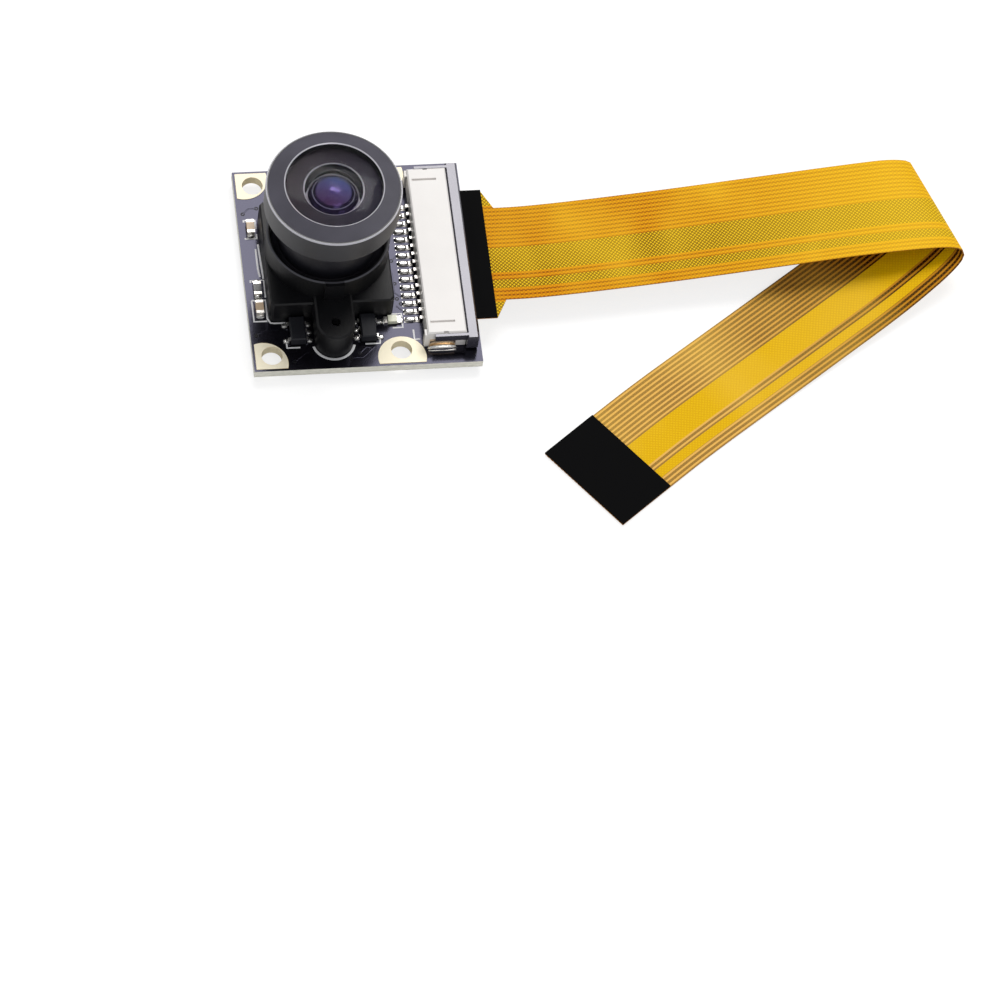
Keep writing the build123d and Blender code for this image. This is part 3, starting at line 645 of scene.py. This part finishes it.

# pale rings round the lens axis, painted highlights along edges: radius from, to, level from, to, in
# millimetres
edgeSet = {
    "collar": (6.34, 6.56, tops["lens_holder"] - 0.16, tops["lens_holder"] + 0.02),
    "head": (headRadius - 0.13, headRadius + 0.01, tops["lens_barrel"] - 0.17, tops["lens_barrel"] + 0.01),
    "bezel": (5.09, 5.215, tops["front_ring"] - 0.09, tops["front_ring"] + 0.01),
    "inner": (2.86, 3.03, tops["black_ring"] - 0.14, tops["black_ring"] + 0.01),
}
# the pale colour along the moulding's corners is a painted highlight
moulding = mouldedPlastic("moulding_black", srgb(8, 8, 11), 0.44, 0.30, cornerLine=(srgb(32, 32, 36), 0.07),
                          # the pale ring at the collar's top rim is a painted highlight
                          rimHighlight=(srgb(74, 74, 80), *edgeSet["collar"]))
finishes = {
    "board": boardMaterial(),
    "plated_holes": platedMetal("pad_gold", srgb(252, 242, 214), 0.46, metal=0.08,
                                rim=(srgb(232, 196, 128), 0.07)),
    "solder_pads": platedMetal("pad_tin", srgb(232, 230, 226), 0.30),
    "lens_holder": moulding,
    "holder_screws": platedMetal("screw_steel", srgb(158, 158, 164), 0.3),
    "sensor_base": mouldedPlastic("sensor_laminate", srgb(40, 40, 38), 0.5, 0.4),
    "sensor_die": platedMetal("sensor_silicon", srgb(88, 70, 128), 0.16),
    "sensor_glass": lensGlass("sensor_cover", (0.8, 0.5, 0.6, 1)),
    "filter_glass": lensGlass("filter_cyan", (0.9, 0.5, 0.6, 1), (0.86, 0.95, 0.97, 1)),
    "lens_barrel": lensMetal("barrel_anodised", srgb(26, 25, 32), 0.42, [edgeSet["head"]]),
    "front_ring": lensMetal("bezel_anodised", srgb(60, 58, 70), 0.40, [edgeSet["bezel"]]),
    "front_glass": lensGlass("front_coated", (0.0, 0.0, 0.0, 1)),    # mirrors only at a glancing angle
    # the inner ring's far colour is a painted reflection, navy towards one side, and its pale inner edge a
    # painted highlight
    "black_ring": lensMetal("inner_ring_black", srgb(52, 44, 51), 0.5, [edgeSet["inner"]], level=0.16,
                            far=(srgb(42, 40, 56), 2.0, -1.0, 5.0)),
    # the glass's violet body and blue side are painted reflections of the coatings, its darker rim painted
    # shade and its pale ring a painted highlight
    "second_glass": lensGlass("second_coated", (0.30, 0.22, 0.55, 1), srgb(156, 114, 166), bend=1.7,
                              clear=0.62, far=(srgb(98, 132, 226), 0.45, 1.0, 1.9),
                              rim=(srgb(56, 52, 72), 1.95, 2.15), ring=(srgb(222, 220, 246), 2.38, 2.47)),
    # the stop ring is painted violet, a painted reflection of the lens coatings seen through the glass
    "stop_ring": mouldedPlastic("stop_painted_violet", srgb(120, 92, 150), 0.4, 0.4),
    "middle_glass": lensGlass("middle_coated", (0.8, 0.35, 0.9, 1), (0.95, 0.88, 0.97, 1), 0.12, 1.7),
    "rear_glass": lensGlass("rear_coated", (0.5, 0.3, 0.6, 1)),
    "rear_ring": lensMetal("rear_ring_anodised", srgb(40, 40, 44), 0.45, []),
    "connector_shell": mouldedPlastic("connector_ivory", srgb(236, 233, 230), 0.42, 0.3, 3800.0, 0.004,
                                      share=0.03),
    "connector_latch": mouldedPlastic("latch_black", srgb(50, 49, 57), 0.22, 1.0, 4200.0, 0.004, share=0.08,
                                      tint=(0.93, 0.92, 1.0, 1)),
    "connector_leads": platedMetal("contact_tin", srgb(226, 222, 218), 0.24),
    "connector_nails": platedMetal("tab_tin", srgb(238, 212, 178), 0.2),
    "capacitor_a": mouldedPlastic("capacitor_tan", srgb(196, 168, 132), 0.35, 0.5, 3000.0, 0.004),
    "resistor": mouldedPlastic("resistor_glaze", srgb(28, 28, 32), 0.22, 0.5, 3000.0, 0.004),
    "chip_ends": platedMetal("chip_tin", srgb(226, 222, 216), 0.34),
    "led_body": mouldedPlastic("indicator_resin", srgb(234, 235, 212), 0.30, 0.4, 3000.0, 0.004, share=0.06),
    "regulators": mouldedPlastic("package_black", srgb(32, 33, 38), 0.46, 0.26, 4600.0, 0.006),
    "regulator_leads": platedMetal("package_tin", srgb(220, 218, 214), 0.28),
    "oscillator": platedMetal("can_lid", srgb(200, 200, 198), 0.30),
    "near_backing": mouldedPlastic("stiffener_black", srgb(5, 5, 6), 0.6, 0.03, 3000.0, 0.006),
    "near_fingers": platedMetal("finger_gold", srgb(232, 190, 104), 0.26),
}
finishes["capacitor_b"] = finishes["capacitor_a"]
finishes["led_ends"] = finishes["chip_ends"]
finishes["far_backing"] = finishes["near_backing"]
finishes["far_fingers"] = finishes["near_fingers"]
for name, material in finishes.items():
    piece = nodes[name]
    piece.data.materials.clear()
    piece.data.materials.append(material)

print("stage 5: print, tracks, vias and solder")


def startFresh():
    if bpy.context.object and bpy.context.object.mode != "OBJECT":
        bpy.ops.object.mode_set(mode="OBJECT")
    bpy.ops.object.select_all(action="DESELECT")


# finished piece: its place goes into the mesh, and it rides on the module
def settle(piece, name, material):
    startFresh()
    bpy.context.view_layer.objects.active = piece
    piece.select_set(True)
    bpy.ops.object.transform_apply(location=True, rotation=True, scale=True)
    bpy.ops.object.shade_smooth_by_angle(angle=math.radians(40))
    piece.name = name
    piece.data.name = name
    piece.data.materials.clear()
    piece.data.materials.append(material)
    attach(piece, "module")
    return piece


# flat printed or plated lines: a round wire along each line, pressed flat on the board
def raisedLines(lines, width, height, level):
    curve = bpy.data.curves.new("lines", "CURVE")
    curve.dimensions = "3D"
    curve.bevel_depth = width / 2 * mm
    curve.bevel_resolution = 2
    curve.use_fill_caps = True
    for line in lines:
        spline = curve.splines.new("POLY")
        spline.points.add(len(line) - 1)
        for spot, (x, y) in zip(spline.points, line):
            spot.co = (x * mm, y * mm, 0.0, 1.0)
    startFresh()
    drawn = bpy.data.objects.new("lines", curve)
    bpy.context.scene.collection.objects.link(drawn)
    bpy.context.view_layer.objects.active = drawn
    drawn.select_set(True)
    bpy.ops.object.convert(target="MESH")
    drawn = bpy.context.object
    drawn.scale = (1.0, 1.0, height / (width / 2))
    drawn.location = (0, 0, level)
    return drawn


def arcPoints(x, y, radius, start, end, count):
    return [(x + radius * math.cos(math.radians(start + (end - start) * i / count)),
             y + radius * math.sin(math.radians(start + (end - start) * i / count)))
            for i in range(count + 1)]


def frameLine(x0, x1, y0, y1):
    return [(x0, y0), (x1, y0), (x1, y1), (x0, y1), (x0, y0)]


printSet = {
    "width": 0.2,
    "height": 0.018,
    "lines": [
        [(-11.35, 4.15), (-11.35, 4.02), (-10.15, 4.02), (-10.15, 4.6)],
        [(-10.15, 5.2), (-10.15, 6.35), (-11.35, 6.35), (-11.35, 6.1)],
        [(-10.12, 3.3), (-10.02, 0.4), (-9.95, -1.05)],
        [(-10.42, 2.7), (-10.42, 0.2), (-10.3, -0.8)],
        [(-11.35, -1.5), (-11.35, -1.22), (-9.95, -1.22), (-9.95, -3.4)],
        [(-11.45, -3.7), (-10.02, -3.7), (-10.02, -6.0), (-9.75, -6.55), (-9.4, -6.62), (-8.2, -6.64)],
        [(-11.45, -3.7), (-11.45, -6.32), (-10.05, -6.32)],
        [(-8.32, -8.95), (-8.32, -9.75), (-6.95, -9.75)],
        [(-0.1, -9.68), (1.45, -9.68), (1.55, -8.75)],
        [(4.05, -6.45), (4.05, -7.85), (2.95, -7.85)],
        [(1.95, -6.25), (1.95, -6.15), (4.05, -6.15), (4.05, -6.45)],
        [(5.1, 8.2), (5.1, 9.4), (5.7, 9.4)],
        [(5.1, -8.2), (5.1, -9.4), (5.7, -9.4)],
    ],
    "arcWidth": 0.27,
    "arcs": [arcPoints(lugX, frontLugY, 2.2, 194, 346, 28), arcPoints(lugX, rearLugY, 2.2, 20, 160, 24)],
    "back": [
        frameLine(4.1, 7.9, -1.6, 1.6),
        [(3.7, 1.2), (3.7, 1.6)],
        arcPoints(lugX, frontLugY, 1.95, 0, 360, 40),
        arcPoints(lugX, rearLugY, 1.95, 0, 360, 40),
        [(-11.2, -11.6), (-11.2, -8.6)],
        [(9.0, -11.4), (11.2, -11.4), (11.2, -9.4)],
    ],
}
printInk = mouldedPlastic("print_white", srgb(238, 238, 240), 0.55, 0.4, 3000.0, 0.003)
printTop = raisedLines(printSet["lines"], printSet["width"], printSet["height"], boardTop)
settle(printTop, "print_top", printInk)
printArcs = raisedLines(printSet["arcs"], printSet["arcWidth"], printSet["height"], boardTop)
settle(printArcs, "print_arcs", printInk)

trackLines = {
    "width": 0.16,
    "height": 0.012,
    "top": [
        [(-0.75, -10.75), (-0.1, -10.1), (0.4, -10.1)],
        [(-1.7, -11.3), (-0.45, -11.3), (0.85, -10.05)],
        [(-7.6, -11.4), (-6.4, -10.4), (-5.9, -10.4)],
        [(-11.3, -8.0), (-10.2, -7.4), (-8.9, -7.4)],
        [(-11.3, 7.2), (-10.7, 7.8), (-9.9, 7.8)],
        [(3.6, -1.0), (3.6, -3.5), (4.2, -4.1)], [(3.4, 2.0), (3.4, 4.4), (4.2, 5.2)],
        [(3.75, 0.5), (4.3, 1.0)], [(3.75, 6.0), (4.3, 6.0)], [(3.6, -5.2), (4.2, -5.8)],
        [(6.4, 11.6), (9.6, 11.6), (11.4, 10.2), (11.4, 4.0)],
        [(11.7, -2.0), (11.7, -9.8), (10.9, -11.2)],
    ],
    "back": [
        [(-8.6, 9.5), (-6.0, 9.5), (-4.8, 8.0), (-4.8, 2.0), (-2.0, -1.0), (2.6, -1.0)],
        [(-8.6, 6.0), (-3.2, 6.0), (-3.2, 3.0), (-1.4, 1.2), (2.6, 1.2)],
        [(9.4, 1.0), (10.6, 2.2), (10.6, 8.6), (8.2, 11.0), (6.0, 11.0)],
        [(9.4, -1.0), (10.6, -2.2), (10.6, -8.6)],
        [(-11.2, 4.0), (-11.2, -7.0), (-9.4, -8.6)],
        [(-8.0, -4.0), (-5.0, -4.0), (-3.6, -5.4), (-3.6, -7.2)],
        [(0.0, -6.0), (2.0, -4.0), (5.6, -4.0), (6.4, -3.2), (6.4, -1.6)],
        [(0.0, 6.4), (4.0, 6.4), (6.0, 4.4), (6.0, 1.6)],
    ],
}
tracksTop = raisedLines(trackLines["top"], trackLines["width"], trackLines["height"], boardTop)
settle(tracksTop, "tracks_top", finishes["board"])
tracksBack = raisedLines(trackLines["back"], trackLines["width"], trackLines["height"], boardUnder)
settle(tracksBack, "tracks_back", finishes["board"])

printBack = raisedLines(printSet["back"], printSet["width"], printSet["height"], boardUnder)
settle(printBack, "print_back", printInk)

viaSet = {
    "outer": 0.22, "inner": 0.10, "height": 0.02,
    "top": [(3.8, -4.3), (4.15, -4.95), (3.75, -2.4), (3.7, 0.45), (3.35, 1.9), (3.7, 6.0), (-0.8, -10.8),
            (-1.75, -11.35), (-7.65, -11.45), (-5.85, -10.4), (-11.35, -8.05), (-8.85, -7.4), (-11.35, 7.15),
            (-9.85, 7.8), (6.35, 11.6), (11.4, 3.9), (11.7, -1.9), (4.3, 7.8), (1.9, 8.0),
            (-6.6, 8.2), (1.0, 11.6), (-6.9, 11.5), (11.2, -11.4)],
    "back": [(-8.6, 9.5), (-8.6, 6.0), (2.6, -1.0), (2.6, 1.2), (6.0, 11.0), (10.6, -8.7), (-11.2, 4.1),
             (-9.3, -8.7), (-8.1, -4.0), (-3.6, -7.3), (-0.1, -6.1), (6.4, -1.6), (-0.1, 6.4), (6.0, 1.6),
             (-6.0, 3.6), (-6.6, -6.6), (1.2, 3.4), (9.8, -4.4), (8.8, 6.6), (-10.6, 0.4)],
}


def viaRing():
    startFresh()
    bpy.ops.mesh.primitive_circle_add(vertices=20, radius=viaSet["outer"] * mm, fill_type="NGON",
                                      location=(0, 0, 0))
    ring = bpy.context.object
    bpy.ops.object.mode_set(mode="EDIT")
    bpy.ops.mesh.select_all(action="SELECT")
    bpy.ops.mesh.inset(thickness=(viaSet["outer"] - viaSet["inner"]) * mm)
    bpy.ops.mesh.delete(type="FACE")
    bpy.ops.mesh.select_all(action="SELECT")
    bpy.ops.mesh.extrude_region_move(TRANSFORM_OT_translate={"value": (0, 0, viaSet["height"] * mm)})
    bpy.ops.mesh.select_all(action="SELECT")
    bpy.ops.mesh.normals_make_consistent(inside=False)
    bpy.ops.object.mode_set(mode="OBJECT")
    return ring


# copies of one shape at (x, y, turn in degrees), joined
def copiesAt(shape, spots, level):
    made = []
    for x, y, turn in spots:
        copy = shape.copy()
        copy.data = shape.data.copy()
        copy.location = (x * mm, y * mm, level)
        copy.rotation_euler = (0, 0, math.radians(turn))
        bpy.context.scene.collection.objects.link(copy)
        made.append(copy)
    bpy.data.objects.remove(shape)
    startFresh()
    for copy in made:
        copy.select_set(True)
    bpy.context.view_layer.objects.active = made[0]
    bpy.ops.object.join()
    return bpy.context.object


viaCover = mouldedPlastic("via_covered", srgb(14, 14, 18), 0.3, 0.12, 3000.0, 0.003)
viaSink = viaSet["height"] / 2 * mm      # half of a ring's height stands over the board
viasTop = copiesAt(viaRing(), [(x, y, 0) for x, y in viaSet["top"]], boardTop - viaSink)
settle(viasTop, "vias_top", viaCover)
viasBack = copiesAt(viaRing(), [(x, y, 0) for x, y in viaSet["back"]], boardUnder - viaSink)
settle(viasBack, "vias_back", viaCover)


beadShape = {"cuts": 3, "roundness": 0.72}


# rounded bead of solder with a flat foot, long side along x
def solderBead(long, wide, high):
    startFresh()
    bpy.ops.mesh.primitive_cube_add(size=2.0, location=(0, 0, 0))
    bead = bpy.context.object
    bpy.ops.object.mode_set(mode="EDIT")
    bpy.ops.mesh.select_all(action="SELECT")
    bpy.ops.mesh.subdivide(number_cuts=beadShape["cuts"])
    bpy.ops.transform.tosphere(value=beadShape["roundness"])
    bpy.ops.mesh.bisect(plane_co=(0, 0, 0), plane_no=(0, 0, 1), clear_inner=True, use_fill=True)
    bpy.ops.mesh.select_all(action="SELECT")
    bpy.ops.transform.resize(value=(long / 2 * mm, wide / 2 * mm, high * mm), center_override=(0, 0, 0))
    bpy.ops.mesh.normals_make_consistent(inside=False)
    bpy.ops.object.mode_set(mode="OBJECT")
    return bead


solder = platedMetal("solder_bright", srgb(236, 234, 230), 0.20, 0.15, 1800.0, 0.012)
contactSolder = {"bead": (1.15, 0.5, 0.24), "x": 4.92, "ways": range(-7, 8), "lift": 0.05}
contactBeads = copiesAt(solderBead(*contactSolder["bead"]),
                        [(contactSolder["x"], way, 0) for way in contactSolder["ways"]],
                        boardTop + contactSolder["lift"] * mm)
settle(contactBeads, "contact_solder", solder)

chipSolder = {"bead": (0.42, 0.74, 0.3), "x": -10.75, "rows": (5.2, -4.9, -2.4), "out": 0.92}
chipBeads = copiesAt(solderBead(*chipSolder["bead"]),
                     [(chipSolder["x"], row + side * chipSolder["out"], 90)
                      for row in chipSolder["rows"] for side in (1, -1)], boardTop)
settle(chipBeads, "chip_solder", solder)

packageSolder = {"bead": (0.62, 0.52, 0.19), "centres": (-7.1, 0.3), "y": -8.0, "rows": (-0.95, 0.0, 0.95),
                 "out": 1.22}
feet = []
for centre, inner in zip(packageSolder["centres"], (1, -1)):
    for row in packageSolder["rows"]:
        feet.append((centre + inner * packageSolder["out"], packageSolder["y"] + row, 0))
    for row in (packageSolder["rows"][0], packageSolder["rows"][2]):
        feet.append((centre - inner * packageSolder["out"], packageSolder["y"] + row, 0))
packageBeads = copiesAt(solderBead(*packageSolder["bead"]), feet, boardTop)
settle(packageBeads, "package_solder", solder)

indicatorSolder = {"bead": (0.4, 0.7, 0.2), "spots": [(3.93, -7.0, 0), (2.07, -7.0, 0)]}
indicatorBeads = copiesAt(solderBead(*indicatorSolder["bead"]), indicatorSolder["spots"], boardTop)
settle(indicatorBeads, "indicator_solder", solder)

tabSolder = {"bead": (2.6, 0.42, 0.55), "spots": [(7.85, 10.72, 0), (7.85, -10.72, 0)], "lift": 0.03}
tabBeads = copiesAt(solderBead(*tabSolder["bead"]), tabSolder["spots"], boardTop + tabSolder["lift"] * mm)
settle(tabBeads, "tab_solder", solder)
